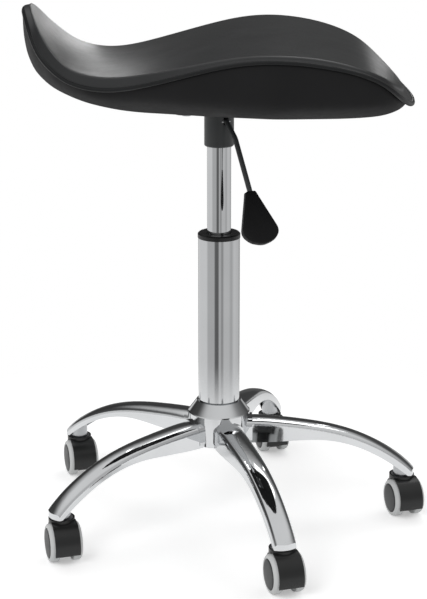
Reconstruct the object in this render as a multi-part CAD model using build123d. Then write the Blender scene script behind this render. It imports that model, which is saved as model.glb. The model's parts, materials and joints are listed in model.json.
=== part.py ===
from build123d import *
import math
import os

# Rolling stool with a wave seat on a gas lift and a five-arm castor base.
# Millimetres, +Z up, origin on the floor under the column, +X the way the sitter faces.

# Base hub, a turned block with a conical top
arm_count = 5
hub_r = 37.0
hub_edge = 1.0
hub_bottom_z = 94.0
hub_rim_z = 131.3
hub_top_z = 144.5
hub_top_r = 26.5

# Arms, pressed channels open underneath
stem_circle = 221.8
arm_root_half = 16.5
arm_tip_half = 12.8
arm_tip_reach = 14.0
arm_tip_round = 22.0
arm_crown = 9.0
arm_boxy = 0.85
arm_wall = 2.4
arm_root_wall = 4.0
arm_root_x = 30.0
arm_tip_z = 50.0
arm_base_z = 20.0
arm_end_x = stem_circle + arm_tip_reach
arm_top = [(arm_root_x, 121.5), (83, 119), (126, 112.8), (165, 102), (196, 87.5), (220, 71.5),
           (arm_end_x, 56.5)]
arm_low = [(228, arm_tip_z), (211, 63.0), (180, 81.5), (152, 92.0), (122, 96.8), (96, 96.4), (70, 95.0),
           (arm_root_x, 94.6)]
arm_flange = 3.0
arm_flange_lip = 1.2
arm_flange_round = 8.0
crown_steps = 10

# Castor stems and their sockets
stem_r = 5.0
stem_top_z = 60.0
stem_point = 3.0
stem_low_r = 4.0
stem_low_z = 20.0
stem_washer_r = 12.9
stem_washer_t = 1.0
socket_top_z = 60.0
socket_slope = 46.0

# Castors
wheel_r = 22.0
wheel_disc_r = 17.2
wheel_in_x = 7.6
tyre_in_x = 7.8
tyre_tread_x = 15.8
tyre_out_x = 18.6
tyre_inner_edge = 1.0
tyre_shoulder_x = 1.9
tyre_shoulder_drop = 0.9
tyre_rim_high = 1.8
tyre_rim_low = 0.6
disc_out_x = 19.1
disc_edge = 1.2
disc_dome = 0.6
disc_centre = 0.2
axle_trail = 8.2
axle_r = 3.0
axle_half = 15.0
castor_yaw = 17.1
hood_in_r = 23.0
hood_t = 1.3
hood_left = 13.9
hood_right = 14.9
hood_low_z = 13.0
hood_back_z = 36.0
web_half = 7.0
web_r = 18.0
web_floor = 2.0
collar_r = 15.0
collar_top_z = 48.6
collar_low_z = 38.0
cup_depth = 1.3
cup_clear = 0.3
castor_span = 60.0

# Running clearances
turn_clear = 0.05
slide_clear = 0.06
part_gap = 0.3

# Column tube
column_r = 24.5
column_wall = 1.6
column_top_z = 344.2
column_neck_z = 146.0
spigot_top_r = 15.6
spigot_top_z = 136.0
spigot_low_r = 14.2
spigot_low_z = 94.0
spigot_floor = 4.0

# Guide bush
bush_flange_r = 25.1
bush_top_z = 350.0
bush_low_z = 275.0
bush_chamfer = 1.4

# Gas cylinder, rod and bearing
cylinder_r = 14.0
cylinder_bore = 12.6
cylinder_low_z = 262.0
cylinder_taper_z = 456.0
cylinder_top_z = 478.0
cylinder_top_r = 13.3
cylinder_plug = 12.0
seal_t = 10.0
rod_r = 5.0
rod_end_r = 4.0
rod_end_z = 90.0
rod_top_z = 288.0
head_t = 10.0
race_t = 2.0
race_r = 11.4
ball_r = 1.75
ball_circle = 7.9
ball_count = 10
clip_r = 7.5
clip_t = 1.8
button_r = 3.0
button_top_z = 481.35
button_length = 13.0

# Seat socket, plate and screws
seat_socket_r = 17.25
seat_socket_low_z = 453.5
seat_socket_chamfer = 1.0
plate_size = 100.0
plate_corner = 10.0
plate_t = 3.0
plate_low_z = 497.5
screw_spacing = 74.0
screw_r = 2.5
screw_head_r = 5.5
screw_head_t = 2.5
screw_length = 26.0

# Lever
lever_turn = -62.0
lever_rod_r = 3.0
lever_z = 484.5
lever_pivot = 15.7
lever_pin_r = 1.5
lever_pin_half = 5.5
lever_slot_w = 6.6
lever_slot_low_z = 480.5
lever_path = [(0.5, lever_z), (18.2, lever_z), (39.0, 468.0), (79.0, 404.7)]
lever_bends = [5.0, 14.0]
paddle_start = (73.0, 413.0)
paddle_end = (105.5, 358.6)
paddle_neck_half = 6.0
paddle_shoulder_half = 8.0
paddle_shoulder = 6.0
paddle_wide_half = 23.5
paddle_wide_at = 50.0
paddle_t = 9.0
paddle_edge = 2.5

# Seat: heights of the pad's rim and of the lip under it along the length
rim_line = [(-228, 638), (-212, 615), (-205, 603), (-188, 580), (-170, 564), (-155, 557),
            (-125, 552.5), (-80, 558.5), (-20, 572.5), (30, 582), (65, 583.5), (110, 579), (150, 568),
            (180, 552), (205, 531), (226, 516)]
edge_line = [(-228, 617), (-220, 613), (-213, 600), (-205, 581.5), (-190, 562.5), (-172, 550),
             (-155, 543.5), (-125, 540), (-80, 547.5), (-20, 565), (30, 576), (65, 578), (110, 573),
             (150, 563), (180, 546), (200, 528), (211, 519), (219, 513.5), (226, 510)]
# Plan of the seat's lip: half-widths from the front to the back
plan_half = [(221.5, 0), (218.5, 50), (211, 102), (199, 142), (182, 167), (150, 182), (105, 188),
             (60, 190), (10, 177.5), (-40, 163.5), (-90, 145), (-130, 130), (-165, 116), (-190, 92),
             (-209, 59), (-220, 26), (-223.5, 0)]
# How far the pad's rim stands inside the lip, and how much more towards the two ends
pad_in = 3.0
pad_front_in = 10.0
pad_front_x = 120.0
pad_back_in = 5.5
pad_back_x = -140.0
crown_radius = 3400.0
pad_edge_round = 4.5
trim_in = 8.0
trim_above = 1.0
trim_below = 4.0
shell_wall = 3.0
board_t = 12.0
board_in = 32.0
board_front_x = 168.0
# Under-shell outlines: height, back end, share of the half-width, front end
shell_levels = [(500.5, -95, 0.41, 165), (503, -118, 0.56, 182), (508, -145, 0.705, 198),
                (516, -172, 0.86, 208), (528, -196, 0.95, 213), (543, -210, 0.97, 215.5),
                (562, -218, 0.98, 217), (585, -221, 0.98, 217.5), (625, -221.8, 0.98, 218)]
shell_floor_levels = 5
shell_mid = 60.0
seat_reach = 235.0
seat_low_z = 400.0
seat_high_z = 700.0

nodes = {}


def rod_z(radius, low, high):
    """A cylinder on the column axis."""
    return Pos(0, 0, low) * Cylinder(radius, high - low, align=(Align.CENTER, Align.CENTER, Align.MIN))


def rod_x(radius, low, high, y, z):
    """A cylinder along X."""
    blank = Cylinder(radius, high - low, align=(Align.CENTER, Align.CENTER, Align.MIN))
    return Pos(low, y, z) * Rot(0, 90, 0) * blank


def block(x, y, z):
    """A box from three low and high pairs."""
    size = Box(x[1] - x[0], y[1] - y[0], z[1] - z[0], align=(Align.MIN, Align.MIN, Align.MIN))
    return Pos(x[0], y[0], z[0]) * size


def turned(points):
    """A solid turned about Z from points of radius and height."""
    face = make_face(Polyline(*[(r, 0, z) for r, z in points], close=True))
    return revolve(face, Axis.Z)


def side_prism(edges, half):
    """An outline in the XZ plane pushed out to both sides."""
    return extrude(make_face(edges), amount=half, dir=(0, 1, 0), both=True)


def about_z(shape, angle):
    return Rot(0, 0, angle) * shape


# Hub and column
hub_block = turned([(0, hub_bottom_z), (hub_r - hub_edge, hub_bottom_z), (hub_r, hub_bottom_z + hub_edge),
                    (hub_r, hub_rim_z - hub_edge), (hub_r - hub_edge, hub_rim_z), (hub_top_r, hub_top_z),
                    (0, hub_top_z)])
column_outside = turned([(0, spigot_low_z), (spigot_low_r, spigot_low_z), (spigot_top_r, spigot_top_z),
                         (column_r, column_neck_z), (column_r, column_top_z), (0, column_top_z)])
floor_z = spigot_low_z + spigot_floor
column_inside = turned([(0, floor_z), (spigot_low_r - column_wall, floor_z),
                        (spigot_top_r - column_wall, spigot_top_z + column_wall),
                        (column_r - column_wall, column_neck_z + column_wall),
                        (column_r - column_wall, column_top_z), (0, column_top_z)])
rod_hole = rod_z(rod_end_r + turn_clear, spigot_low_z, floor_z)
nodes["base_hub"] = hub_block - column_outside
nodes["column_tube"] = column_outside - column_inside - rod_hole

# Arms
arm_side = [Spline(*[(x, 0, z) for x, z in arm_low]),
            Line((arm_root_x, 0, arm_low[-1][1]), (arm_root_x, 0, hub_top_z)),
            Line((arm_root_x, 0, hub_top_z), (arm_end_x, 0, hub_top_z)),
            Line((arm_end_x, 0, hub_top_z), (arm_end_x, 0, arm_tip_z)),
            Line((arm_end_x, 0, arm_tip_z), (arm_low[0][0], 0, arm_tip_z))]


def arm_half(x):
    """Half-width of an arm at a station."""
    return arm_root_half + (arm_tip_half - arm_root_half) * (x - arm_root_x) / (arm_end_x - arm_root_x)


def arm_section(x, z, inset):
    """An upright cross-section of an arm with a crowned top."""
    half = arm_half(x) - inset
    arch = []
    for step in range(crown_steps + 1):
        angle = math.pi * step / crown_steps
        wide = math.copysign(abs(math.cos(angle)) ** arm_boxy, math.cos(angle))
        arch.append((x, half * wide, z - arm_crown + arm_crown * math.sin(angle) ** arm_boxy))
    low = ((x, -half, arm_base_z), (x, half, arm_base_z))
    return make_face([Spline(*arch, tangents=((0, 0, 1), (0, 0, -1))),
                      Line(arch[-1], low[0]), Line(low[0], low[1]), Line(low[1], arch[0])])


def arm_form(stations, inset):
    """The arm's crowned form, drawn in by an inset and rounded at its tip."""
    form = loft([arm_section(x, z, inset) for x, z in stations])
    tip_x = arm_end_x - arm_tip_round
    tip = Pos(tip_x, 0, 0) * rod_z(arm_tip_round - inset, arm_base_z, hub_top_z)
    return form & (tip + block((0, tip_x), (-hub_r, hub_r), (arm_base_z, hub_top_z)))


cavity_x = hub_r + arm_root_wall
cavity_end = arm_end_x - arm_wall
inner_top = []
for (x, z), (next_x, next_z) in zip(arm_top, arm_top[1:]):
    slope = (next_z - z) / (next_x - x)
    drop = arm_wall * math.hypot(1, slope)
    start_x = max(x, cavity_x)
    inner_top.append((start_x, z + slope * (start_x - x) - drop))
inner_top.append((cavity_end, next_z + slope * (cavity_end - next_x) - drop))
arm_outside = arm_form(arm_top, 0) & side_prism(arm_side, hub_r)
flange_high = arm_top[0][1] - arm_low[-1][1] + 2 * arm_flange_lip
flange_plan = RectangleRounded(2 * (arm_root_half + arm_flange_lip), flange_high, arm_flange_round)
flange_z = (arm_top[0][1] + arm_low[-1][1]) / 2
flange_face = Plane((arm_root_x, 0, flange_z), x_dir=(0, 1, 0), z_dir=(1, 0, 0)) * flange_plan
arm = arm_outside + extrude(flange_face, amount=hub_r + arm_flange - arm_root_x)
arm = arm - arm_form(inner_top, arm_wall) - rod_z(hub_r, arm_base_z, hub_top_z)
arm_angles = [360 / arm_count * i for i in range(arm_count)]
for number, angle in enumerate(arm_angles, 1):
    nodes[f"base_arm_{number}"] = about_z(arm, angle)

# Castor stems in their sockets
washer_low = collar_top_z - cup_depth + turn_clear
washer_top = washer_low + stem_washer_t
stem = turned([(0, stem_low_z), (stem_low_r, stem_low_z), (stem_low_r, washer_low),
               (stem_washer_r, washer_low), (stem_washer_r, washer_top), (stem_r, washer_top),
               (stem_r, stem_top_z - stem_point), (stem_r - stem_point / 2, stem_top_z), (0, stem_top_z)])
socket_r = arm_half(stem_circle) - arm_wall - part_gap
socket_tube = rod_z(socket_r, arm_tip_z, arm_top[0][1]) - rod_z(stem_r, arm_tip_z, arm_top[0][1])
span = (-castor_span, castor_span)
socket_roof = Pos(0, 0, socket_top_z) * Rot(0, socket_slope, 0) * block(span, span, (0, castor_span))
arm_socket = Pos(stem_circle, 0, 0) * (socket_tube - socket_roof)
nodes["castor_sockets"] = Compound([about_z(arm_socket, a) for a in arm_angles])
nodes["castor_stems"] = Compound([about_z(Pos(stem_circle, 0, 0) * stem, a) for a in arm_angles])

# One castor about its stem, axle along X, trailing towards -Y
axle_y = -axle_trail
hood_r = hood_in_r + hood_t
barrel = rod_x(hood_r, -hood_left, hood_right, axle_y, wheel_r)
barrel -= rod_x(hood_in_r, -hood_left, hood_right, axle_y, wheel_r)
barrel -= block(span, span, (-castor_span, hood_low_z))
barrel -= block(span, (axle_y, castor_span), (-castor_span, hood_back_z))
web = rod_x(web_r, -web_half, web_half, axle_y, wheel_r)
web += rod_x(hood_r, -web_half, web_half, axle_y, wheel_r) & block(span, span, (wheel_r, castor_span))
web += block((-web_half, web_half), (axle_y, web_half), (stem_low_z - web_floor, collar_low_z))
collar = rod_z(collar_r, collar_low_z, collar_top_z)
wheel_room = rod_x(hood_in_r, web_half, castor_span, axle_y, wheel_r)
wheel_room += rod_x(hood_in_r, -castor_span, -web_half, axle_y, wheel_r)
hood = barrel + web + (collar - wheel_room)
hood -= rod_z(stem_washer_r + cup_clear, collar_top_z - cup_depth, castor_span)
hood -= rod_z(stem_low_r + turn_clear, stem_low_z - part_gap, collar_top_z)
hood -= rod_x(axle_r, -web_half, web_half, axle_y, wheel_r)
axle = rod_x(axle_r, -axle_half, axle_half, axle_y, wheel_r)


def wheel_ring(points):
    """A ring about the axle from points of X and radius."""
    face = make_face(Polyline(*[(x, axle_y, wheel_r + r) for x, r in points], close=True))
    return revolve(face, Axis((0, axle_y, wheel_r), (1, 0, 0)))


tyre = wheel_ring([(tyre_in_x, wheel_disc_r), (tyre_in_x, wheel_r - tyre_inner_edge),
                   (tyre_in_x + tyre_inner_edge, wheel_r), (tyre_tread_x, wheel_r),
                   (tyre_tread_x + tyre_shoulder_x, wheel_r - tyre_shoulder_drop),
                   (tyre_out_x - tyre_rim_low, wheel_disc_r + tyre_rim_high),
                   (tyre_out_x, wheel_disc_r + tyre_rim_low), (tyre_out_x, wheel_disc_r)])
axle_end_x = axle_half + part_gap
disc = wheel_ring([(wheel_in_x, axle_r + turn_clear), (wheel_in_x, wheel_disc_r),
                   (tyre_out_x, wheel_disc_r),
                   (disc_out_x, wheel_disc_r - disc_edge), (disc_out_x + disc_dome, wheel_disc_r / 2),
                   (disc_out_x + disc_dome + disc_centre, 0), (axle_end_x, 0),
                   (axle_end_x, axle_r + turn_clear)])
for number, angle in enumerate(arm_angles, 1):
    radians = math.radians(angle)
    stem_x = stem_circle * math.cos(radians)
    stem_y = stem_circle * math.sin(radians)
    seat_of_castor = Pos(stem_x, stem_y, 0) * Rot(0, 0, castor_yaw)
    nodes[f"castor_hood_{number}"] = seat_of_castor * hood
    nodes[f"castor_axle_{number}"] = seat_of_castor * axle
    far_side = Pos(0, axle_y, wheel_r) * Rot(0, 0, 180) * Pos(0, -axle_y, -wheel_r)
    for side, place in (("a", seat_of_castor), ("b", seat_of_castor * far_side)):
        nodes[f"wheel_disc_{number}{side}"] = place * disc
        nodes[f"wheel_tyre_{number}{side}"] = place * tyre

# Guide bush
column_bore = column_r - column_wall
bush = turned([(cylinder_r + slide_clear, bush_low_z), (column_bore, bush_low_z),
               (column_bore, column_top_z),
               (bush_flange_r, column_top_z), (bush_flange_r, bush_top_z - bush_chamfer),
               (bush_flange_r - bush_chamfer, bush_top_z),
               (cylinder_r + slide_clear + bush_chamfer, bush_top_z),
               (cylinder_r + slide_clear, bush_top_z - bush_chamfer)])
nodes["guide_bush"] = bush

# Thrust bearing and piston rod
lower_race_top = floor_z + race_t
ball_z = lower_race_top + turn_clear / 2 + ball_r
upper_race_z = ball_z + ball_r
shoulder_z = upper_race_z + race_t
race_hole = rod_z(rod_end_r + turn_clear, floor_z, lower_race_top)
nodes["thrust_race_lower"] = rod_z(race_r, floor_z, lower_race_top) - race_hole
upper_race = rod_z(race_r, upper_race_z, shoulder_z) - rod_z(rod_end_r, upper_race_z, shoulder_z)
ball = Pos(ball_circle, 0, ball_z) * Sphere(ball_r)
balls = [about_z(ball, 360 / ball_count * i) for i in range(ball_count)]
nodes["thrust_bearing"] = Compound([upper_race] + balls)
nodes["piston_rod"] = rod_z(rod_end_r, rod_end_z, shoulder_z) + rod_z(rod_r, shoulder_z, rod_top_z)
head_low_z = rod_top_z - head_t
head = rod_z(cylinder_bore - slide_clear, head_low_z, rod_top_z)
nodes["piston_head"] = head - rod_z(rod_r, head_low_z, rod_top_z)
clip_top = spigot_low_z - part_gap
clip_low = clip_top - clip_t
nodes["rod_clip"] = rod_z(clip_r, clip_low, clip_top) - rod_z(rod_end_r, clip_low, clip_top)

# Gas cylinder, seal and valve button
cylinder_outside = turned([(0, cylinder_low_z), (cylinder_r, cylinder_low_z),
                           (cylinder_r, cylinder_taper_z),
                           (cylinder_top_r, cylinder_top_z), (0, cylinder_top_z)])
plug_z = cylinder_top_z - cylinder_plug
cylinder = cylinder_outside - rod_z(cylinder_bore, cylinder_low_z, plug_z)
nodes["gas_cylinder"] = cylinder - rod_z(button_r + turn_clear, plug_z, cylinder_top_z)
seal_top = cylinder_low_z + seal_t
seal_hole = rod_z(rod_r + turn_clear, cylinder_low_z, seal_top)
nodes["rod_seal"] = rod_z(cylinder_bore, cylinder_low_z, seal_top) - seal_hole
nodes["valve_button"] = rod_z(button_r, button_top_z - button_length, button_top_z)

# Lever, built along +X and turned to its place
lever_wire = FilletPolyline(*[(r, 0, z) for r, z in lever_path], radius=lever_bends)
lever_rod = sweep(Plane(lever_wire @ 0, z_dir=lever_wire % 0) * Circle(lever_rod_r), path=lever_wire)


def pin_y(radius, half):
    return Pos(lever_pivot, 0, lever_z) * Rot(90, 0, 0) * Cylinder(radius, 2 * half)


pivot_pin = pin_y(lever_pin_r, lever_pin_half)
paddle_way = Vector(paddle_end[0] - paddle_start[0], 0, paddle_end[1] - paddle_start[1]).normalized()
paddle_length = math.dist(paddle_start, paddle_end)
paddle_up = Vector(0, 1, 0).cross(paddle_way)
paddle_face = Plane((paddle_start[0], 0, paddle_start[1]), x_dir=(0, 1, 0), z_dir=paddle_up)
outline = [Line((-paddle_neck_half, 0), (paddle_neck_half, 0)),
           Line((paddle_neck_half, 0), (paddle_shoulder_half, paddle_shoulder)),
           Line((paddle_shoulder_half, paddle_shoulder), (paddle_wide_half, paddle_wide_at)),
           ThreePointArc((paddle_wide_half, paddle_wide_at), (0, paddle_length),
                         (-paddle_wide_half, paddle_wide_at)),
           Line((-paddle_wide_half, paddle_wide_at), (-paddle_shoulder_half, paddle_shoulder)),
           Line((-paddle_shoulder_half, paddle_shoulder), (-paddle_neck_half, 0))]
paddle = extrude(paddle_face * make_face(outline), amount=paddle_t / 2, both=True)
paddle = fillet(paddle.edges(), paddle_edge)
nodes["lever_rod"] = about_z(lever_rod - pin_y(lever_pin_r + turn_clear / 2, lever_pin_half), lever_turn)
nodes["lever_paddle"] = about_z(paddle - lever_rod, lever_turn)
nodes["lever_pivot_pin"] = about_z(pivot_pin, lever_turn)

# Seat socket, plate and screws
socket = turned([(0, seat_socket_low_z), (seat_socket_r - seat_socket_chamfer, seat_socket_low_z),
                 (seat_socket_r, seat_socket_low_z + seat_socket_chamfer), (seat_socket_r, plate_low_z),
                 (0, plate_low_z)])
socket -= cylinder_outside
socket -= rod_z(cylinder_r, cylinder_top_z, plate_low_z)
slot_sides = (-lever_slot_w / 2, lever_slot_w / 2)
lever_slot = block((0, 2 * seat_socket_r), slot_sides, (lever_slot_low_z, plate_low_z))
nodes["seat_socket"] = socket - about_z(lever_slot + pivot_pin, lever_turn)
plate_top = plate_low_z + plate_t
corners = [(sx * screw_spacing / 2, sy * screw_spacing / 2) for sx in (-1, 1) for sy in (-1, 1)]
plate_plan = RectangleRounded(plate_size, plate_size, plate_corner)
plate = extrude(Pos(0, 0, plate_low_z) * plate_plan, amount=plate_t)
screw = rod_z(screw_head_r, plate_low_z - screw_head_t, plate_low_z)
screw = fillet(screw.faces().sort_by(Axis.Z)[0].edges(), screw_head_t / 2)
screw += rod_z(screw_r, plate_low_z, plate_low_z + screw_length)
screws = [Pos(x, y, 0) * screw for x, y in corners]


def drilled(shape):
    """The shape with the four screws' room taken out."""
    for one in screws:
        shape -= one
    return shape


nodes["plate_screws"] = Compound(screws)
nodes["seat_plate"] = drilled(plate)

# Seat outlines and wave lines
plan_points = plan_half + [(x, -h) for x, h in reversed(plan_half[1:-1])]


def drawn_in(x):
    """How far the pad's rim stands inside the lip at a station."""
    front = max(x - pad_front_x, 0) / (plan_half[0][0] - pad_front_x)
    back = max(pad_back_x - x, 0) / (pad_back_x - plan_half[-1][0])
    return pad_in + pad_front_in * front ** 2 + pad_back_in * back ** 2


def plan_outline(grow, pad_share=0):
    """Lip points moved outwards along the outline's normal, or in to the pad's rim."""
    moved = []
    total = len(plan_points)
    for i, (x, y) in enumerate(plan_points):
        before = plan_points[i - 1]
        after = plan_points[(i + 1) % total]
        along = Vector(after[0] - before[0], after[1] - before[1], 0).normalized()
        out = grow - pad_share * drawn_in(x)
        moved.append((x + along.Y * out, y - along.X * out))
    return moved


def plan_prism(grow, pad_share=0):
    face = make_face(Spline(*plan_outline(grow, pad_share), periodic=True))
    return extrude(Pos(0, 0, seat_low_z) * face, amount=seat_high_z - seat_low_z)


def under_line(line, lift):
    """Everything under a wave line moved up or down."""
    points = [(x, 0, z + lift) for x, z in line]
    front_low = (points[-1][0], 0, seat_low_z)
    back_low = (points[0][0], 0, seat_low_z)
    edges = [Spline(*points),
             Line(points[-1], front_low),
             Line(front_low, back_low),
             Line(back_low, points[0])]
    return side_prism(edges, seat_reach)


def half_width(x):
    """Half-width of the seat at a station, between its plan points."""
    for (x1, h1), (x2, h2) in zip(plan_half, plan_half[1:]):
        if x2 <= x <= x1:
            return h2 + (h1 - h2) * (x - x2) / (x1 - x2)
    return 0.0


def crown_section(x, z):
    """A cross-section with a crowned top, as high at the rim as the wave line."""
    peak = z + half_width(x) ** 2 / (2 * crown_radius)
    side = peak - seat_reach ** 2 / (2 * crown_radius)
    corners_low = ((x, -seat_reach, seat_low_z), (x, seat_reach, seat_low_z))
    return make_face([Line(*corners_low),
                      Line(corners_low[1], (x, seat_reach, side)),
                      ThreePointArc((x, seat_reach, side), (x, 0, peak), (x, -seat_reach, side)),
                      Line((x, -seat_reach, side), corners_low[0])])


# Pad with its crown and rounded rim
crown = loft([crown_section(x, z) for x, z in rim_line])
pad = (crown & plan_prism(0, 1)) - under_line(edge_line, trim_above)
pad_top = max(pad.faces(), key=lambda f: f.area * max(f.normal_at().Z, 0))
nodes["seat_pad"] = fillet(pad_top.edges(), pad_edge_round)

# Edge trim between the pad and the shell
under_pad = trim_above - part_gap
trim_band = under_line(edge_line, under_pad) - under_line(edge_line, -trim_below)
nodes["seat_trim"] = trim_band & (plan_prism(0) - plan_prism(-trim_in))


def shell_outline(level, inset):
    """One flat outline of the under-shell."""
    z, back, share, front = level
    moved = []
    for x, y in plan_outline(-inset):
        if x > shell_mid:
            x = shell_mid + (x - shell_mid) * (front - shell_mid) / (plan_half[0][0] - shell_mid)
        else:
            x = shell_mid + (x - shell_mid) * (shell_mid - back) / (shell_mid - plan_half[-1][0])
        moved.append((x, y * share))
    return Pos(0, 0, z) * make_face(Spline(*moved, periodic=True))


# Under-shell, board and riser
shell_outside = loft([shell_outline(level, 0) for level in shell_levels])
raised = [(z + shell_wall, b, s, f) for z, b, s, f in shell_levels[:shell_floor_levels]]
raised += shell_levels[shell_floor_levels:]
shell_inside = loft([shell_outline(level, shell_wall) for level in raised])
shell = (shell_outside & under_line(edge_line, -trim_below - part_gap)) - shell_inside
nodes["seat_shell"] = drilled(shell)
across = (-seat_reach, seat_reach)
board_space = plan_prism(-board_in) & block((-seat_reach, board_front_x), across, (seat_low_z, seat_high_z))
board = board_space & (under_line(edge_line, under_pad) - under_line(edge_line, under_pad - board_t))
nodes["seat_board"] = board
half_plate = plate_size / 2
riser_sides = (-half_plate, half_plate)
riser = block(riser_sides, riser_sides, (plate_top + shell_wall, seat_high_z))
riser = riser & under_line(edge_line, under_pad - board_t - part_gap)
nodes["seat_riser"] = drilled(riser)

os.makedirs("parts", exist_ok=True)
for name, shape in nodes.items():
    export_step(shape, f"parts/{name}.step")
    print(name, round(shape.volume, 1))
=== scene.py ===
# %% [markdown]
# Rolling stool, dressed in Blender.
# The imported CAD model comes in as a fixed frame: a padded wave seat on a gas lift, a release lever,
# a chrome star base and castors. Each cell below takes one finish or one piece of it.

# %% Load the frame
import json
import math
import bpy
import numpy as np
from mathutils import Matrix, Vector
from mathutils.kdtree import KDTree


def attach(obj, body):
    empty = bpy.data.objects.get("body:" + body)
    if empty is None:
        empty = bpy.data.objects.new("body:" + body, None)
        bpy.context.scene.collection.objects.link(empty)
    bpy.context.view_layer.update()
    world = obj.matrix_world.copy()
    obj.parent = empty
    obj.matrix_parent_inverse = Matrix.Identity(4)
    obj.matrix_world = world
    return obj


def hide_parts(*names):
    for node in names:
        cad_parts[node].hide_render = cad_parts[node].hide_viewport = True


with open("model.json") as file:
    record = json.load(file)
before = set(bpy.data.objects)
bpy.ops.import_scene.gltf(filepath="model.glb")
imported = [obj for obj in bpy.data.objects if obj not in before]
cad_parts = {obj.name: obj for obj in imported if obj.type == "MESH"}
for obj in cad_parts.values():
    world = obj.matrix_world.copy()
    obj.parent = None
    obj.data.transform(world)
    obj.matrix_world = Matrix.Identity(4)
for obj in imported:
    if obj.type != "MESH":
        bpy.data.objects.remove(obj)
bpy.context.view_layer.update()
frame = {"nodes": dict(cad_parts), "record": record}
nodes = frame["nodes"]

# %% [markdown]
# The camera stands in front of the stool's right side, a little above the seat, and looks down by
# about 13 degrees. A long lens keeps the upright lines nearly parallel, and the small shift
# frames the castors without tilting the camera further.

# %% Camera
image_w, image_h = 427, 599
focal_px = 1682.05
camera_place = (-0.00649, -1.91404, 0.82830)
camera_pitch = math.radians(13.266)
bpy.ops.object.select_all(action="DESELECT")
bpy.ops.object.camera_add(location=camera_place, rotation=(math.pi / 2 - camera_pitch, 0, 0))
camera = bpy.context.object
camera.name = "studio_camera"
camera.data.sensor_width = 36.0
camera.data.lens = focal_px / image_h * camera.data.sensor_width
camera.data.shift_y = -0.15
camera.data.clip_end = 20.0
bpy.context.scene.camera = camera
bpy.context.scene.view_settings.view_transform = "Standard"
print("picture", image_w, "x", image_h, "px, lens", round(camera.data.lens, 2), "mm")

# %% [markdown]
# The world and every finish are node trees. They could be clicked together by hand in the Shader Editor.
# Here a few small helpers add one node each and link its inputs, which keeps the trees short to read.

# %% Node helpers


def add_node(tree, kind, **values):
    """Adds a node and sets its plain properties."""
    node = tree.nodes.new(kind)
    for name, value in values.items():
        setattr(node, name, value)
    return node


def feed(tree, socket, value):
    """Links an input to another node's output, or gives it a plain value."""
    if hasattr(value, "links"):
        tree.links.new(value, socket)
    else:
        socket.default_value = value


def math_node(tree, operation, *values):
    """A Math node whose inputs are numbers or outputs of other nodes; returns its output."""
    node = add_node(tree, "ShaderNodeMath", operation=operation)
    for socket, value in zip(node.inputs, values):
        feed(tree, socket, value)
    return node.outputs[0]


def map_node(tree, value, low, high, out_low=0.0, out_high=1.0, smooth=False):
    """Maps a value from one span to another, in a straight line or with eased ends."""
    node = add_node(tree, "ShaderNodeMapRange", interpolation_type="SMOOTHSTEP" if smooth else "LINEAR")
    limits = {"Value": value, "From Min": low, "From Max": high, "To Min": out_low, "To Max": out_high}
    for label, limit in limits.items():
        feed(tree, node.inputs[label], limit)
    return node.outputs[0]


def ramp_node(tree, factor, stops):
    """A grey ramp from (position, level) stops; returns its colour output."""
    node = add_node(tree, "ShaderNodeValToRGB")
    node.color_ramp.interpolation = "EASE"
    elements = node.color_ramp.elements
    while len(elements) < len(stops):
        elements.new(0.5)
    for element, (place, level) in zip(elements, stops):
        element.position = place
        element.color = (level, level, level, 1)
    tree.links.new(factor, node.inputs[0])
    return node.outputs[0]


def mix_colour(tree, factor, first, second):
    """Mixes two colours, each an output of another node or a grey level."""
    node = add_node(tree, "ShaderNodeMix", data_type="RGBA")
    tree.links.new(factor, node.inputs["Factor"])
    for socket, value in zip((node.inputs[6], node.inputs[7]), (first, second)):
        feed(tree, socket, value if hasattr(value, "links") else (value, value, value, 1))
    return node.outputs[2]


print("node helpers ready")

# %% [markdown]
# Polished metal shows the room more than itself, so the world is a small studio. The camera sees plain
# white. Mirror-like surfaces see pale walls with a few grey panels: two narrow ones beside the camera give
# the column its dark streaks, and a dark one far behind keeps the seat's flat top black. The stops below
# run once round the room, from straight behind over the left side, the camera and the right side.
# Every other ray gets one plain soft level of light.

# %% Studio world
low_stops = [(0.0, 0.10), (0.045, 0.10), (0.065, 0.78), (0.29, 0.80), (0.33, 0.55), (0.42, 0.54),
             (0.445, 0.15), (0.485, 0.15), (0.505, 0.57), (0.525, 0.54), (0.545, 0.34), (0.585, 0.65),
             (0.65, 0.65), (0.70, 0.52), (0.76, 0.73), (0.86, 0.66), (0.90, 0.50), (0.935, 0.50),
             (0.955, 0.10), (1.0, 0.10)]
high_stops = [(0.0, 0.06), (0.10, 0.05), (0.24, 0.08), (0.36, 0.5), (0.5, 0.6), (0.64, 0.6),
              (0.76, 0.25), (0.90, 0.08), (1.0, 0.06)]
low_to_high = (0.0, 0.12)
high_to_ceiling = (0.45, 0.85)
ceiling_level = 0.85
plain_level = 0.75
world = bpy.data.worlds.new("studio_world")
bpy.context.scene.world = world
world.use_nodes = True
sky = world.node_tree
sky.nodes.clear()
direction = add_node(sky, "ShaderNodeTexCoord").outputs["Generated"]
split = add_node(sky, "ShaderNodeSeparateXYZ")
sky.links.new(direction, split.inputs[0])
to_camera = math_node(sky, "MULTIPLY", split.outputs["Y"], -1.0)
turn = math_node(sky, "ARCTAN2", split.outputs["X"], to_camera)
round_share = math_node(sky, "MULTIPLY_ADD", turn, 1 / (2 * math.pi), 0.5)
low_walls = ramp_node(sky, round_share, low_stops)
high_walls = ramp_node(sky, round_share, high_stops)
above_low = map_node(sky, split.outputs["Z"], *low_to_high, smooth=True)
above_walls = map_node(sky, split.outputs["Z"], *high_to_ceiling, smooth=True)
walls = mix_colour(sky, above_low, low_walls, high_walls)
room = mix_colour(sky, above_walls, walls, ceiling_level)
rays = add_node(sky, "ShaderNodeLightPath")
lit = mix_colour(sky, rays.outputs["Is Glossy Ray"], plain_level, room)
white_rays = math_node(sky, "MAXIMUM", rays.outputs["Is Camera Ray"], rays.outputs["Is Transmission Ray"])
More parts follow.
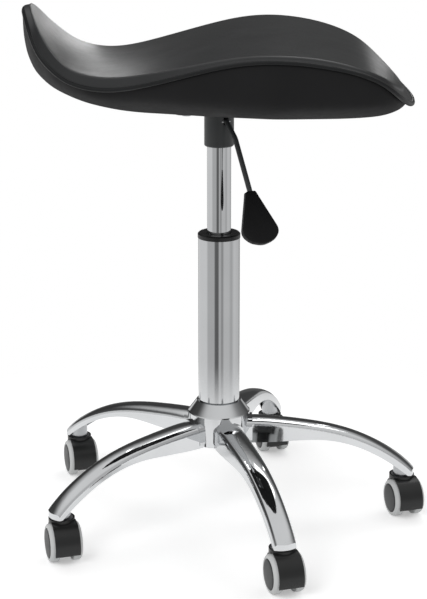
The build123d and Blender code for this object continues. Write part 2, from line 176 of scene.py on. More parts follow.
glow = add_node(sky, "ShaderNodeBackground")
sky.links.new(mix_colour(sky, white_rays, lit, 1.0), glow.inputs["Color"])
sky.links.new(glow.outputs[0], add_node(sky, "ShaderNodeOutputWorld").inputs["Surface"])
print("studio world nodes:", len(sky.nodes))

# %% [markdown]
# Soft boxes shape the seat. Two low cards behind it graze the slopes that face them and give the cover its
# broad sheen: a tall one for the rising back and a small one for the drooping nose.
# One box hangs above and behind. One in front on the left opens the shadows, and is hidden from reflections
# so that it leaves no hard square in the chrome.

# %% Soft boxes


def soft_box(name, place, aim, width, height, watts):
    """An oblong area lamp turned to a point."""
    bpy.ops.object.select_all(action="DESELECT")
    bpy.ops.object.light_add(type="AREA", location=place)
    lamp = bpy.context.object
    lamp.name = name
    lamp.data.shape = "RECTANGLE"
    lamp.data.size = width
    lamp.data.size_y = height
    lamp.data.energy = watts
    away = (Vector(place) - Vector(aim)).normalized()
    lamp.rotation_euler = away.to_track_quat("Z", "Y").to_euler()
    return lamp


soft_box("back_card", (-0.164, 0.25, 0.650), (-0.164, 0, 0.650), 0.028, 0.17, 0.062)
soft_box("nose_card", (0.312, 0.5, 0.59), (0.312, 0, 0.59), 0.040, 0.10, 0.036)
soft_box("soft_box_back", (0.5, 1.0, 2.2), (0, 0, 0.5), 1.1, 1.1, 6)
fill_box = soft_box("soft_box_front", (-1.0, -1.5, 1.5), (0, 0, 0.4), 1.0, 1.0, 12)
fill_box.visible_glossy = False

# %% [markdown]
# The floor is a pale disc that fades out, so the stool stands on its own soft shadow and the white
# around it goes on without an edge. A plain white plane would end in a visible line.

# %% Floor
floor_radius = 0.8
fade_from, fade_to = 0.30, 0.62
floor_paint = (0.86, 0.86, 0.86, 1)
floor_lift = 0.35
bpy.ops.object.select_all(action="DESELECT")
bpy.ops.mesh.primitive_circle_add(vertices=96, radius=floor_radius, fill_type="TRIFAN")
floor = bpy.context.object
floor.name = "studio_floor"
pale = bpy.data.materials.new("pale_floor")
pale.use_nodes = True
tree = pale.node_tree
tree.nodes.clear()
reach = add_node(tree, "ShaderNodeVectorMath", operation="LENGTH")
tree.links.new(add_node(tree, "ShaderNodeTexCoord").outputs["Object"], reach.inputs[0])
fade = map_node(tree, reach.outputs["Value"], fade_from, fade_to, smooth=True)
paint = add_node(tree, "ShaderNodeBsdfDiffuse")
paint.inputs["Color"].default_value = floor_paint
rays = add_node(tree, "ShaderNodeLightPath")
seen = math_node(tree, "MAXIMUM", rays.outputs["Is Camera Ray"], rays.outputs["Is Glossy Ray"])
seen = math_node(tree, "MAXIMUM", seen, rays.outputs["Is Transmission Ray"])
lift = add_node(tree, "ShaderNodeEmission")
tree.links.new(math_node(tree, "MULTIPLY", seen, floor_lift), lift.inputs["Strength"])
lifted_paint = add_node(tree, "ShaderNodeAddShader")
tree.links.new(paint.outputs[0], lifted_paint.inputs[0])
tree.links.new(lift.outputs[0], lifted_paint.inputs[1])
blend = add_node(tree, "ShaderNodeMixShader")
tree.links.new(fade, blend.inputs[0])
tree.links.new(lifted_paint.outputs[0], blend.inputs[1])
tree.links.new(add_node(tree, "ShaderNodeBsdfTransparent").outputs[0], blend.inputs[2])
tree.links.new(blend.outputs[0], add_node(tree, "ShaderNodeOutputMaterial").inputs["Surface"])
floor.data.materials.append(pale)
print("floor radius:", floor_radius)

# %% [markdown]
# Real finishes are never even. Three small groups carry that, each built once and placed in the finishes
# with its own values. An image texture could do it too, but a group needs no picture and no unwrapping.
# The first one is a slow drift of the colour over the part, as in dyed leather or moulded plastic.

# %% Colour drift


def new_group(name, inputs, outputs):
    """An empty shader group with named sockets; returns the group, its input and its output node."""
    group = bpy.data.node_groups.new(name, "ShaderNodeTree")
    for label, kind, value in inputs:
        socket = group.interface.new_socket(label, in_out="INPUT", socket_type=kind)
        if value is not None:
            socket.default_value = value
    for label, kind in outputs:
        group.interface.new_socket(label, in_out="OUTPUT", socket_type=kind)
    return group, group.nodes.new("NodeGroupInput"), group.nodes.new("NodeGroupOutput")


def noise_node(tree, position, scale, detail):
    """A noise texture; returns its factor."""
    node = add_node(tree, "ShaderNodeTexNoise")
    tree.links.new(position, node.inputs["Vector"])
    feed(tree, node.inputs["Scale"], scale)
    node.inputs["Detail"].default_value = detail
    return node.outputs["Fac"]


drift_group, inside, outside = new_group(
    "colour_drift",
    [("Position", "NodeSocketVector", None), ("Colour", "NodeSocketColor", (0.5, 0.5, 0.5, 1)),
     ("Patch Scale", "NodeSocketFloat", 18.0), ("Amount", "NodeSocketFloat", 0.1)],
    [("Colour", "NodeSocketColor")])
patch = noise_node(drift_group, inside.outputs["Position"], inside.outputs["Patch Scale"], 3.0)
darkest = math_node(drift_group, "SUBTRACT", 1.0, inside.outputs["Amount"])
lightest = math_node(drift_group, "ADD", 1.0, inside.outputs["Amount"])
scaled = add_node(drift_group, "ShaderNodeVectorMath", operation="SCALE")
drift_group.links.new(inside.outputs["Colour"], scaled.inputs[0])
drift_group.links.new(map_node(drift_group, patch, 0.3, 0.7, darkest, lightest), scaled.inputs["Scale"])
drift_group.links.new(scaled.outputs[0], outside.inputs["Colour"])
print("group:", drift_group.name)

# %% [markdown]
# Handling and polishing leave patches that shine a little more or less. The smudge mixes a broad noise with
# a finer one and returns a roughness between two limits. One even roughness would look lifeless.

# %% Gloss smudge
smudge_group, inside, outside = new_group(
    "gloss_smudge",
    [("Position", "NodeSocketVector", None), ("Patch Scale", "NodeSocketFloat", 30.0),
     ("Smooth", "NodeSocketFloat", 0.1), ("Dull", "NodeSocketFloat", 0.2)],
    [("Roughness", "NodeSocketFloat")])
broad = noise_node(smudge_group, inside.outputs["Position"], inside.outputs["Patch Scale"], 4.0)
finer_scale = math_node(smudge_group, "MULTIPLY", inside.outputs["Patch Scale"], 7.0)
finer = noise_node(smudge_group, inside.outputs["Position"], finer_scale, 2.0)
broad_share = math_node(smudge_group, "MULTIPLY", broad, 0.65)
smudge = math_node(smudge_group, "MULTIPLY_ADD", finer, 0.35, broad_share)
rough = map_node(smudge_group, smudge, 0.32, 0.68, inside.outputs["Smooth"], inside.outputs["Dull"])
smudge_group.links.new(rough, outside.inputs["Roughness"])
print("group:", smudge_group.name)

# %% [markdown]
# Faux leather, powder coat and moulded plastic all have a fine pebbled relief. Soft cells give the pebbles,
# and noise of about the same size breaks their order. The height feeds a bump, because real displacement
# of such a fine grain would need millions of faces.

# %% Pebble grain
grain_group, inside, outside = new_group(
    "pebble_grain",
    [("Position", "NodeSocketVector", None), ("Grain Scale", "NodeSocketFloat", 900.0)],
    [("Height", "NodeSocketFloat")])
cells = add_node(grain_group, "ShaderNodeTexVoronoi", feature="SMOOTH_F1")
grain_group.links.new(inside.outputs["Position"], cells.inputs["Vector"])
grain_group.links.new(inside.outputs["Grain Scale"], cells.inputs["Scale"])
cells.inputs["Smoothness"].default_value = 0.6
fine_scale = math_node(grain_group, "MULTIPLY", inside.outputs["Grain Scale"], 0.6)
fine = noise_node(grain_group, inside.outputs["Position"], fine_scale, 3.0)
hill = map_node(grain_group, cells.outputs["Distance"], 0.1, 0.6, 1.0, 0.0)
hill_share = math_node(grain_group, "MULTIPLY", hill, 0.4)
grain_height = math_node(grain_group, "MULTIPLY_ADD", fine, 0.6, hill_share)
grain_group.links.new(grain_height, outside.inputs["Height"])
print("group:", grain_group.name)

# %% [markdown]
# One helper lays out a finish: the Principled shader holds the constants, and the groups feed its colour,
# its gloss and, where the surface is grained, a bump. One tree for all finishes keeps them easy to compare.

# %% Making a finish
grain_depth = 0.0002


def make_finish(name, colour, metallic, gloss, drift=0.06, grain_scale=None, bump=0.0, specular=0.5):
    """A finish from its colour, metalness and a pair of roughness limits."""
    material = bpy.data.materials.new(name)
    material.use_nodes = True
    tree = material.node_tree
    shader = tree.nodes["Principled BSDF"]
    shader.inputs["Metallic"].default_value = metallic
    shader.inputs["Specular IOR Level"].default_value = specular
    position = add_node(tree, "ShaderNodeTexCoord").outputs["Object"]

    def place(group):
        node = add_node(tree, "ShaderNodeGroup", node_tree=group)
        tree.links.new(position, node.inputs["Position"])
        return node

    tint = place(drift_group)
    tint.inputs["Colour"].default_value = (*colour, 1)
    tint.inputs["Amount"].default_value = drift
    tree.links.new(tint.outputs["Colour"], shader.inputs["Base Color"])
    wipe = place(smudge_group)
    wipe.inputs["Smooth"].default_value = gloss[0]
    wipe.inputs["Dull"].default_value = gloss[1]
    tree.links.new(wipe.outputs["Roughness"], shader.inputs["Roughness"])
    if grain_scale:
        grain = place(grain_group)
        grain.inputs["Grain Scale"].default_value = grain_scale
        relief = add_node(tree, "ShaderNodeBump")
        relief.inputs["Strength"].default_value = bump
        relief.inputs["Distance"].default_value = grain_depth
        tree.links.new(grain.outputs["Height"], relief.inputs["Height"])
        tree.links.new(relief.outputs[0], shader.inputs["Normal"])
    return material


print("finish helper ready")

# %% [markdown]
# The stool has mirror chrome on the lift and the base, black faux leather on the seat, several black
# plastics that differ in gloss, and grey treads. The hidden pieces get their finishes too, for when the
# stool is taken apart. The names on the left are the material slots of the record.

# %% Finishes of the stool
finishes = {
    "chrome": make_finish("polished_chrome", (0.63, 0.64, 0.65), 1.0, (0.03, 0.075), drift=0.03),
    "steel": make_finish("zinc_plated_steel", (0.46, 0.47, 0.48), 1.0, (0.22, 0.38),
                         grain_scale=1500, bump=0.05),
    "black_paint": make_finish("powder_coat", (0.030, 0.033, 0.034), 0.0, (0.36, 0.48),
                               grain_scale=1400, bump=0.10),
    "bush_plastic": make_finish("bush_moulding", (0.010, 0.010, 0.0105), 0.0, (0.26, 0.38),
                                grain_scale=1600, bump=0.06, specular=0.35),
    "paddle_plastic": make_finish("paddle_moulding", (0.005, 0.005, 0.0055), 0.0, (0.34, 0.46),
                                  grain_scale=1500, bump=0.10, specular=0.18),
    "shell_plastic": make_finish("shell_moulding", (0.012, 0.012, 0.0125), 0.0, (0.50, 0.62),
                                 grain_scale=1300, bump=0.10, specular=0.12),
    "hood_plastic": make_finish("hood_moulding", (0.008, 0.0085, 0.0085), 0.0, (0.26, 0.36),
                                grain_scale=1500, bump=0.06, specular=0.4),
    "disc_plastic": make_finish("disc_moulding", (0.026, 0.0275, 0.028), 0.0, (0.40, 0.52),
                                grain_scale=1500, bump=0.08, specular=0.35),
    "tyre_rubber": make_finish("grey_tread", (0.56, 0.57, 0.57), 0.0, (0.48, 0.62),
                               grain_scale=1200, bump=0.08),
    "leather": make_finish("faux_leather", (0.018, 0.0187, 0.0195), 0.0, (0.34, 0.42), drift=0.10,
                           grain_scale=1100, bump=0.12),
    # The lip bead's edge leather is the seat's faux leather with a darker base colour; the darker colour is
    # painted shade that keeps the bead dark at the nose.
    "edge_leather": make_finish("edge_leather", (0.012, 0.0125, 0.013), 0.0, (0.34, 0.42), drift=0.08,
                                grain_scale=1100, bump=0.12, specular=0.18),
    "plywood": make_finish("raw_plywood", (0.60, 0.45, 0.28), 0.0, (0.55, 0.7), drift=0.15,
                           grain_scale=500, bump=0.2),
    "valve_alloy": make_finish("turned_alloy", (0.66, 0.66, 0.67), 1.0, (0.25, 0.4),
                               grain_scale=1500, bump=0.05),
    "seal_rubber": make_finish("seal_rubber", (0.02, 0.02, 0.02), 0.0, (0.5, 0.65),
                               grain_scale=1200, bump=0.1),
}
slot_of = {row["node"]: row["material_slot"] for row in frame["record"]["subparts"]}
for name, part in nodes.items():
    part.data.materials.clear()
    part.data.materials.append(finishes[slot_of[name]])
print("finishes:", len(finishes), "on", len(nodes), "nodes")

# %% [markdown]
# The seat is one wave: it rises behind the sitter, dips, swells to a hump between the legs and droops in
# front. It could be sculpted, but two lines along its length keep the pad, the lip and the skirt in step:
# one for the height of the pad's rim and one for the lip under it. They are the same few points as in the
# CAD source, in millimetres, with a smooth curve through them.

# %% Seat lines
rim_line = [(-228, 638), (-212, 615), (-205, 603), (-188, 580), (-170, 564), (-155, 557), (-125, 552.5),
            (-80, 558.5), (-20, 572.5), (30, 582), (65, 583.5), (110, 579), (150, 568), (180, 552),
            (205, 531), (226, 516)]
lip_line = [(-228, 617), (-220, 613), (-213, 600), (-205, 581.5), (-190, 562.5), (-172, 550), (-155, 543.5),
            (-125, 540), (-80, 547.5), (-20, 565), (30, 576), (65, 578), (110, 573), (150, 563), (180, 546),
            (200, 528), (211, 519), (219, 513.5), (226, 510)]


def smooth_line(points):
    """A natural cubic curve through points of x and height in millimetres; returns a function in metres."""
    x, z = np.array(points, float).T / 1000
    step = np.diff(x)
    slope = np.diff(z) / step
    system = np.eye(len(x))
    right = np.zeros(len(x))
    for i in range(1, len(x) - 1):
        system[i, i - 1:i + 2] = step[i - 1], 2 * (step[i - 1] + step[i]), step[i]
        right[i] = 6 * (slope[i] - slope[i - 1])
    bend = np.linalg.solve(system, right)

    def at(where):
        where = np.asarray(where, float)
        i = np.clip(np.searchsorted(x, where) - 1, 0, len(step) - 1)
        left, ahead = where - x[i], x[i + 1] - where
        return ((bend[i] * ahead ** 3 + bend[i + 1] * left ** 3) / (6 * step[i])
                + (z[i] / step[i] - bend[i] * step[i] / 6) * ahead
                + (z[i + 1] / step[i] - bend[i + 1] * step[i] / 6) * left)
    return at


rim_z, lip_z = smooth_line(rim_line), smooth_line(lip_line)
print("rim height at the hump:", round(float(rim_z(0.065)), 4))

# %% [markdown]
# One closed outline sets the lip's plan: broad under the thighs, narrow at the back. Half of it is given
# and the other half is its mirror image. The points are spread evenly, so that the faces round the lip are
# equally wide.

# %% Seat outline
plan_half = [(221.5, 0), (218.5, 50), (211, 102), (199, 142), (182, 167), (150, 182), (105, 188), (60, 190),
             (10, 177.5), (-40, 163.5), (-90, 145), (-130, 130), (-165, 116), (-190, 92), (-209, 59),
             (-220, 26), (-223.5, 0)]
around = 208


def even_points(line, count):
    """Evenly spread points on a closed line, and the directions that point out of it."""
    line = np.vstack([line, line[:1]])
    run = np.concatenate([[0], np.cumsum(np.linalg.norm(np.diff(line, axis=0), axis=1))])
    places = np.linspace(0, run[-1], count, endpoint=False)
    spots = np.stack([np.interp(places, run, line[:, k]) for k in (0, 1)], 1)
    along = np.roll(spots, -1, 0) - np.roll(spots, 1, 0)
    along /= np.linalg.norm(along, axis=1)[:, None]
    return spots, np.stack([along[:, 1], -along[:, 0]], 1)


def closed_outline(points, count):
    """Evenly spread points on a closed smooth curve through the plan points, in metres."""
    here = np.array(points, float) / 1000
    before, after, later = np.roll(here, 1, 0), np.roll(here, -1, 0), np.roll(here, -2, 0)
    fine = []
    for t in np.linspace(0, 1, 40, endpoint=False):
        square = (2 * before - 5 * here + 4 * after - later) * t ** 2
        cube = (3 * here - before - 3 * after + later) * t ** 3
        fine.append(0.5 * (2 * here + (after - before) * t + square + cube))
    return even_points(np.stack(fine, 1).reshape(-1, 2), count)


mirrored = [(x, -y) for x, y in reversed(plan_half[1:-1])]
outline, outward = closed_outline(plan_half + mirrored, around)
print("outline points:", len(outline))

# %% [markdown]
# A form that goes all the way round the seat is easiest to make from a plain grid: its columns are rolled
# round the outline, its rows become rings, and merging the doubled points closes the seam and the poles.

# %% Rolling a grid round the seat
merge_distance = 1e-6


def points_of(mesh):
    """The points of a mesh as rows of x, y and z."""
    flat = np.zeros(len(mesh.vertices) * 3)
    mesh.vertices.foreach_get("co", flat)
    return flat.reshape(-1, 3)


def wrap_grid(name, rings):
    """A piece from a plain grid that is rolled round: rings of points, each ring closed on itself."""
    rings = np.asarray(rings, float)
    rows, columns = rings.shape[:2]
    bpy.ops.object.select_all(action="DESELECT")
    bpy.ops.mesh.primitive_grid_add(x_subdivisions=columns, y_subdivisions=rows - 1, size=2)
    piece = bpy.context.object
    piece.name = name
    flat = points_of(piece.data)
    column = np.rint((flat[:, 0] + 1) / 2 * columns).astype(int) % columns
    row = np.rint((flat[:, 1] + 1) / 2 * (rows - 1)).astype(int)
    piece.data.vertices.foreach_set("co", rings[row, column].ravel())
    bpy.ops.object.mode_set(mode="EDIT")
    bpy.ops.mesh.select_all(action="SELECT")
    bpy.ops.mesh.remove_doubles(threshold=merge_distance)
    bpy.ops.mesh.normals_make_consistent(inside=False)
    bpy.ops.object.mode_set(mode="OBJECT")
    bpy.ops.object.shade_smooth()
    return piece


print("grid helper ready")

# %% [markdown]
# The top of the pad is crowned across: it falls off to both sides along a large radius, and meets the rim
# line at the edge. The crease lies close to the lip along the sides and draws in at the nose and the back.
# Small functions hold these rules, so that every ring further down can ask for its own points.

# %% Crown and crease
crown_radius = 3.4
seat_middle = np.array([0.005, 0.0])
front_from, front_span = 0.120, 0.1015
back_from, back_span = -0.140, 0.0835
crease_side, crease_nose, crease_back = 0.003, 0.010, 0.0055
rim_x = [x for x, _ in rim_line]
half_width = np.interp(rim_x, *np.array(plan_half[::-1], float).T)
crown = smooth_line([(x, y ** 2 / 1000 / (2 * crown_radius)) for x, y in zip(rim_x, half_width)])


def top_z(spots):
    """Height of the crowned top over points of x and y."""
    return rim_z(spots[:, 0]) + crown(spots[:, 0]) - spots[:, 1] ** 2 / (2 * crown_radius)


def inset_ring(inset):
    """The outline drawn inwards by a distance, one for all points or one each."""
    return outline - outward * np.broadcast_to(inset, around)[:, None]


def shrunk(ring, share):
    """A ring drawn towards the middle of the seat."""
    return seat_middle + (ring - seat_middle) * share


to_front = np.clip((outline[:, 0] - front_from) / front_span, 0, 1)
to_back = np.clip((back_from - outline[:, 0]) / back_span, 0, 1)
crease = crease_side + crease_nose * to_front ** 2 + crease_back * to_back ** 2
print("crease lies in by up to", round(1000 * float(crease.max()), 1), "mm")

# %% [markdown]
# The cushion is a firm foam pad under tight faux leather. Its crowned top ends in a soft crease, and below
# the crease a band slopes out to the lip. A box with modifiers would lose that crease, so the form is given
# as rings from the middle of the top, over the edge and back to the middle underneath.
# The top starts a little low, because the pad is filled further down.

# %% Cushion
fill_room = 0.0016
top_shares = (0.0, 0.05, 0.12, 0.2, 0.3, 0.4, 0.5, 0.6, 0.7, 0.78, 0.85, 0.91, 0.96)
crease_steps = ((0.006, 0.0), (0.0034, 0.0), (0.0019, 0.0003), (0.0008, 0.0009), (0.0002, 0.0018),
                (0.0, 0.0029))
band_shares = (0.12, 0.3, 0.5, 0.7, 0.88, 1.0)
band_inset, band_above_lip = 0.0014, 0.0006
under_steps = ((0.004, 1.0), (0.008, 1.0), (0.008, 0.85), (0.008, 0.6), (0.008, 0.3), (0.008, 0.0))
under_above_lip = 0.0004
rings = []
inner = inset_ring(crease + crease_steps[0][0])
for share in top_shares:
    spots = shrunk(inner, share)
    rings.append(np.column_stack([spots, top_z(spots) - fill_room * (1 - share ** 4)]))
for inset, drop in crease_steps:
    spots = inset_ring(crease + inset)
    rings.append(np.column_stack([spots, top_z(spots) - drop]))
band_top = rings[-1]
low_spots = inset_ring(band_inset)
band_low = np.column_stack([low_spots, lip_z(low_spots[:, 0]) + band_above_lip])
for share in band_shares:
    rings.append(band_top + (band_low - band_top) * share)
for inset, share in under_steps:
    spots = shrunk(inset_ring(inset), share)
    rings.append(np.column_stack([spots, lip_z(spots[:, 0]) + under_above_lip]))
cushion = wrap_grid("seat_cushion", rings)
print("cushion faces:", len(cushion.data.polygons))

# %% [markdown]
# Foam pushes the cover out most in the middle and hardly at the sewn edge. It could be sculpted by hand.
# Cloth with a little pressure finds that shape by itself, on an evenly meshed copy whose rim and underside
# are held fast.

# %% Cloth trial
trial_voxel = 0.004
trial_pressure = 4.0
last_frame = 20
held_from, free_from = 0.010, 0.035


def make_active(piece):
    """Selects one piece alone."""
    bpy.ops.object.select_all(action="DESELECT")
    piece.select_set(True)
    bpy.context.view_layer.objects.active = piece


def finder(points):
    """A search tree over points."""
    tree = KDTree(len(points))
    for i, point in enumerate(points):
        tree.insert(point, i)
    tree.balance()
    return tree


def hold_weights(points):
    """How firmly each point is held: fully at the edge and below, not at all over the middle of the top."""
    edge_tree = finder(np.column_stack([inset_ring(crease), np.zeros(around)]))
    from_edge = np.array([edge_tree.find((x, y, 0))[2] for x, y, _ in points])
    t = np.clip((from_edge - held_from) / (free_from - held_from), 0, 1)
    on_top = points[:, 2] > top_z(points[:, :2]) - trial_voxel
    return np.where(on_top, 1 - t * t * (3 - 2 * t), 1.0)


def cloth_trial(piece):
    """Fills an evenly meshed copy of a piece; returns the copy's points and how far each one moved."""
    make_active(piece)
    bpy.ops.object.duplicate()
    trial = bpy.context.object
    trial.data.remesh_voxel_size = trial_voxel
    bpy.ops.object.voxel_remesh()
    start = points_of(trial.data)
    held = trial.vertex_groups.new(name="held")
    for i, weight in enumerate(hold_weights(start)):
        held.add([i], float(weight), "REPLACE")
    cloth = trial.modifiers.new("filling", "CLOTH")
    cloth.settings.use_pressure = True
    cloth.settings.uniform_pressure_force = trial_pressure
    cloth.settings.effector_weights.gravity = 0.0
    cloth.settings.vertex_group_mass = "held"
    cloth.point_cache.frame_start = 1
    cloth.point_cache.frame_end = last_frame
    for number in range(1, last_frame + 1):
        bpy.context.scene.frame_set(number)
    filled = trial.evaluated_get(bpy.context.evaluated_depsgraph_get())
    move = points_of(filled.data) - start
    bpy.context.scene.frame_set(1)
    bpy.data.objects.remove(trial, do_unlink=True)
    return start, move


print("cloth runs for", last_frame, "frames at a pressure of", trial_pressure)

# %% [markdown]
# The cushion takes over how far the copy moved, averaged over near points and up to a limit, so the crease
# keeps its crisp line. Then one level of subdivision rounds the mesh.

# %% Filling the cushion
fill_limit = 0.0026
near_count, near_reach = 60, 0.012
top_skin = 0.0025
start, move = cloth_trial(cushion)
length = np.linalg.norm(move, axis=1)
move *= np.minimum(1, fill_limit / np.maximum(length, 1e-9))[:, None]
move_tree = finder(start)
points = points_of(cushion.data)
on_top = points[:, 2] > top_z(points[:, :2]) - top_skin
for i in np.flatnonzero(on_top):
    near = move_tree.find_n(points[i], near_count)
    weights = np.exp([-(n[2] / near_reach) ** 2 for n in near])
    points[i] += (weights[:, None] * move[[n[1] for n in near]]).sum(0) / weights.sum()
cushion.data.vertices.foreach_set("co", points.ravel())
print("filled by up to", round(1000 * float(length.max()), 2), "mm before the limit")
make_active(cushion)
cushion.modifiers.new("smooth", "SUBSURF").levels = 1
bpy.ops.object.modifier_apply(modifier="smooth")
print("cushion faces:", len(cushion.data.polygons))

# %% [markdown]
# The lip is a piped bead all round the seat. It is one round section rolled round the outline, thin along
# the sides, fuller at the nose and thickest at the back, where the cover is gathered. A bevelled curve
# would give the same tube, but not its change of thickness so simply.

# %% Lip bead
bead_side, bead_nose, bead_back = 0.0023, 0.0008, 0.0030
bead_past_lip, bead_below_lip = 0.0008, 0.0008
bead_r = bead_side + bead_nose * to_front ** 2 + bead_back * to_back ** 3
bead_inset = bead_r - bead_past_lip
bead_z = lip_z(inset_ring(bead_inset)[:, 0]) - bead_below_lip
bead_rings = []
for angle in np.linspace(0, 2 * math.pi, 17):
    spots = inset_ring(bead_inset - bead_r * math.cos(angle))
    bead_rings.append(np.column_stack([spots, bead_z + bead_r * math.sin(angle)]))
bead = wrap_grid("seat_lip_bead", bead_rings)
print("bead faces:", len(bead.data.polygons))

# %% [markdown]
# Under the bead hangs the skirt, a smooth bowl that narrows towards the plate. It is described by flat
# outlines at a few heights. Each row below gives the height, how far the outline reaches to the back, its
# width as a share of the lip's, and how far it reaches to the front, with all lengths in millimetres.

# %% Skirt outlines
skirt_levels = [(500.5, -95, 0.41, 166), (503, -118, 0.56, 185), (508, -145, 0.705, 205),
                (516, -172, 0.86, 215), (528, -196, 0.95, 217.5), (543, -211, 0.97, 218),
                (562, -219, 0.98, 218), (585, -223, 0.985, 218), (625, -223.5, 0.985, 218)]
skirt_middle = 0.060
from_middle = outline[:, 0] - skirt_middle
front_reach = plan_half[0][0] / 1000 - skirt_middle
back_reach = skirt_middle - plan_half[-1][0] / 1000
level_rings = []
for z, back, share, front in skirt_levels:
    ahead = from_middle * (front / 1000 - skirt_middle) / front_reach
    behind = from_middle * (skirt_middle - back / 1000) / back_reach
    x = skirt_middle + np.where(from_middle > 0, ahead, behind)
    level_rings.append(np.column_stack([x, outline[:, 1] * share, np.full(around, z / 1000)]))
level_rings = np.array(level_rings)
print("skirt outlines:", len(level_rings))

# %% [markdown]
# Below each point of the rim a path runs through the outlines, is smoothed, and stops inside the bead. The
# paths side by side make the bowl, and a Solidify modifier gives it its wall.

# %% Skirt bowl
path_steps = np.linspace(0, len(skirt_levels) - 1, 161)
smooth_rounds = 60
skirt_rows = 34
skirt_below_lip = 0.0016
skirt_wall = 0.003
floor_shares = (0.0, 0.2, 0.45, 0.7, 0.85, 0.95)
levels = range(len(skirt_levels))
meridians = np.zeros((around, skirt_rows, 3))
for i in range(around):
    path = np.stack([np.interp(path_steps, levels, level_rings[:, i, k]) for k in range(3)], 1)
    for _ in range(smooth_rounds):
        path[1:-1] = 0.25 * path[:-2] + 0.5 * path[1:-1] + 0.25 * path[2:]
    headroom = lip_z(path[:, 0]) - skirt_below_lip - path[:, 2]
    top = int(np.argmax(headroom <= 0)) if (headroom <= 0).any() else len(path) - 1
    share = np.clip(headroom[top - 1] / (headroom[top - 1] - headroom[top]), 0, 1)
    path = np.vstack([path[:top], path[top - 1] + (path[top] - path[top - 1]) * share])
    run = np.concatenate([[0], np.cumsum(np.linalg.norm(np.diff(path, axis=0), axis=1))])
    places = np.linspace(0, run[-1], skirt_rows)
    meridians[i] = np.stack([np.interp(places, run, path[:, k]) for k in range(3)], 1)
lowest = meridians[:, 0]
bowl_rings = [np.column_stack([shrunk(lowest[:, :2], share), lowest[:, 2]]) for share in floor_shares]
bowl_rings += [meridians[:, j] for j in range(skirt_rows)]
bowl = wrap_grid("seat_skirt", bowl_rings)
bowl.modifiers.new("wall", "SOLIDIFY").thickness = skirt_wall
bpy.ops.object.modifier_apply(modifier="wall")
print("skirt faces:", len(bowl.data.polygons))

# %% [markdown]
# The three forms ride on the seat's body, stand for their CAD nodes and take their finishes.

# %% Seat finishes


def dress(piece, body, node):
    """Gives a piece its finish, its body and the CAD node that it stands for."""
    piece.data.materials.append(finishes[slot_of[node]])
    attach(piece, body)
    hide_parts(node)


for piece, node in ((cushion, "seat_pad"), (bead, "seat_trim"), (bowl, "seat_shell")):
    dress(piece, "seat", node)
print("seat pieces ride on the seat")

# %% [markdown]
# The lever ends in a flat moulded paddle that flares out from the rod. Its plan is a few corner points in
# millimetres, across and along, and each corner is softened as far as its own reach.

# %% Paddle outline
paddle_plan = [(-6, 0, 2), (6, 0, 2), (8, 6, 4), (24.4, 50, 8), (14, 60, 4.5), (0, 63.8, 6), (-14, 60, 4.5),
               (-24.4, 50, 8), (-8, 6, 4)]


def soft_corners(plan):
    """The plan with each corner replaced by a short curve; points in metres."""
    corners = np.array(plan, float)[:, :2] / 1000
    reach = np.array(plan, float)[:, 2:] / 1000
    before, after = np.roll(corners, 1, 0) - corners, np.roll(corners, -1, 0) - corners
    start = corners + before / np.linalg.norm(before, axis=1)[:, None] * reach
    end = corners + after / np.linalg.norm(after, axis=1)[:, None] * reach
    curves = []
    for t in np.linspace(0, 1, 9):
        curves.append(start * (1 - t) ** 2 + corners * 2 * t * (1 - t) + end * t ** 2)
    return np.stack(curves, 1).reshape(-1, 2)


edge_line, edge_out = even_points(soft_corners(paddle_plan), 120)
print("paddle outline points:", len(edge_line))

# %% [markdown]
# The paddle's section has rounded edges and a slightly crowned face, so the gloss runs over it. A bevel on
# a flat plate would leave the face dead flat. The rings are laid out flat first and then turned into the
# lever's slope.

# %% Paddle
paddle_top, paddle_low = np.array([0.0730, 0, 0.4130]), np.array([0.1055, 0, 0.3586])
lever_turn = math.radians(-62.0)
half_thick, edge_round, face_rise = 0.0045, 0.0024, 0.0005
grip_middle = np.array([0.0, 0.038])
side_rings = []
for share in (0.0, 0.3, 0.6, 0.85):
    spots = grip_middle + (edge_line - edge_out * edge_round - grip_middle) * share
    side_rings.append((spots, half_thick + face_rise * (1 - share ** 2)))
for angle in np.linspace(math.pi / 2, 0, 6):
    spots = edge_line - edge_out * edge_round * (1 - math.cos(angle))
    side_rings.append((spots, half_thick - edge_round * (1 - math.sin(angle))))
flat_rings = side_rings + [(spots, -level) for spots, level in reversed(side_rings)]
fall = (paddle_low - paddle_top) / np.linalg.norm(paddle_low - paddle_top)
across = np.array([0.0, 1.0, 0.0])
off_face = np.cross(across, fall)
swing = np.array(Matrix.Rotation(lever_turn, 3, "Z"))
paddle_rings = []
for spots, level in flat_rings:
    place = paddle_top + spots[:, :1] * across + spots[:, 1:] * fall + level * off_face
    paddle_rings.append(place @ swing.T)
paddle = wrap_grid("lever_paddle_grip", paddle_rings)
dress(paddle, "lever", "lever_paddle")
print("paddle faces:", len(paddle.data.polygons))

# %% [markdown]
# Each castor runs on two wheels: a hard plastic disc inside a soft grey tread with rounded shoulders. Both
# are round about the axle, so each is one closed section, drawn as a circle of points and then spun.
# One of each is made at the origin, with its axle along X, and the ten wheels are copies of it.

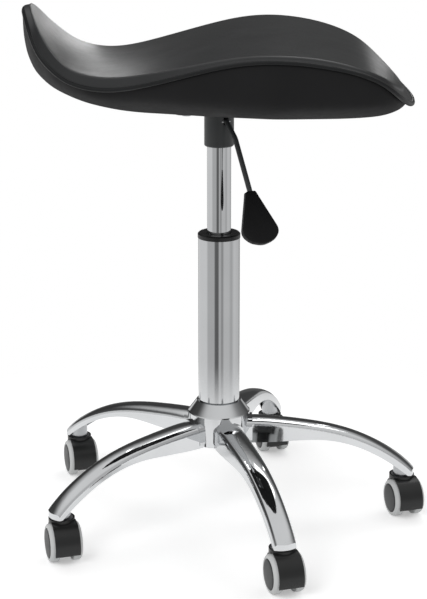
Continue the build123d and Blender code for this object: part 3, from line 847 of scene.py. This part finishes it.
# %% One wheel
tread_section = [(7.8, 17.3), (7.8, 20.6), (8.1, 21.6), (9.0, 22.0), (12.0, 22.0), (14.8, 21.95),
                 (16.2, 21.65), (17.3, 21.05), (18.1, 20.1), (18.55, 18.95), (18.6, 17.9), (18.3, 17.3)]
disc_section = [(19.9, 0), (19.85, 3.5), (19.7, 7.5), (19.45, 11.5), (19.15, 14.8), (18.9, 16.0),
                (18.45, 16.7), (17.8, 17.1), (7.6, 17.1), (7.6, 3.1), (15.3, 3.1), (15.3, 0)]
sharp_edge = math.radians(40)


def spun_ring(name, section, steps=80):
    """A ring from a closed section: points along the axle and out from it, in millimetres."""
    bpy.ops.object.select_all(action="DESELECT")
    bpy.ops.mesh.primitive_circle_add(vertices=len(section), radius=0.01)
    ring = bpy.context.object
    ring.name = name
    for vertex, (x, radius) in zip(ring.data.vertices, section):
        vertex.co = (x / 1000, 0, radius / 1000)
    bpy.ops.object.mode_set(mode="EDIT")
    bpy.ops.mesh.select_all(action="SELECT")
    bpy.ops.mesh.spin(steps=steps, angle=2 * math.pi, center=(0, 0, 0), axis=(1, 0, 0))
    bpy.ops.mesh.select_all(action="SELECT")
    bpy.ops.mesh.remove_doubles(threshold=merge_distance)
    bpy.ops.mesh.delete_loose()
    bpy.ops.mesh.select_all(action="SELECT")
    bpy.ops.mesh.normals_make_consistent(inside=False)
    bpy.ops.object.mode_set(mode="OBJECT")
    bpy.ops.object.shade_smooth_by_angle(angle=sharp_edge)
    return ring


patterns = {"tyre": spun_ring("tread_pattern", tread_section),
            "disc": spun_ring("disc_pattern", disc_section)}
print("faces in a wheel:", sum(len(p.data.polygons) for p in patterns.values()))

# %% [markdown]
# The joints of the record say where each axle lies and which way it points. A wheel named b sits on the
# other end of its axle, so it is turned half a turn about the upright.

# %% Ten wheels
joints = frame["record"]["behaviour"]["joints"]
rolls = [joint for joint in joints if joint["name"].startswith("wheel_roll_")]
for joint in rolls:
    body = joint["child"]
    side = 1 if body.endswith("a") else -1
    yaw = math.atan2(side * joint["axis"][1], side * joint["axis"][0])
    place = Matrix.Translation(joint["pos_m"]) @ Matrix.Rotation(yaw, 4, "Z")
    for kind, pattern in patterns.items():
        piece = bpy.data.objects.new(f"{kind}_{body[-2:]}", pattern.data.copy())
        bpy.context.collection.objects.link(piece)
        piece.data.transform(place)
        dress(piece, body, body.replace("wheel_", f"wheel_{kind}_"))
for pattern in patterns.values():
    bpy.data.objects.remove(pattern, do_unlink=True)
print("wheels:", len(rolls))
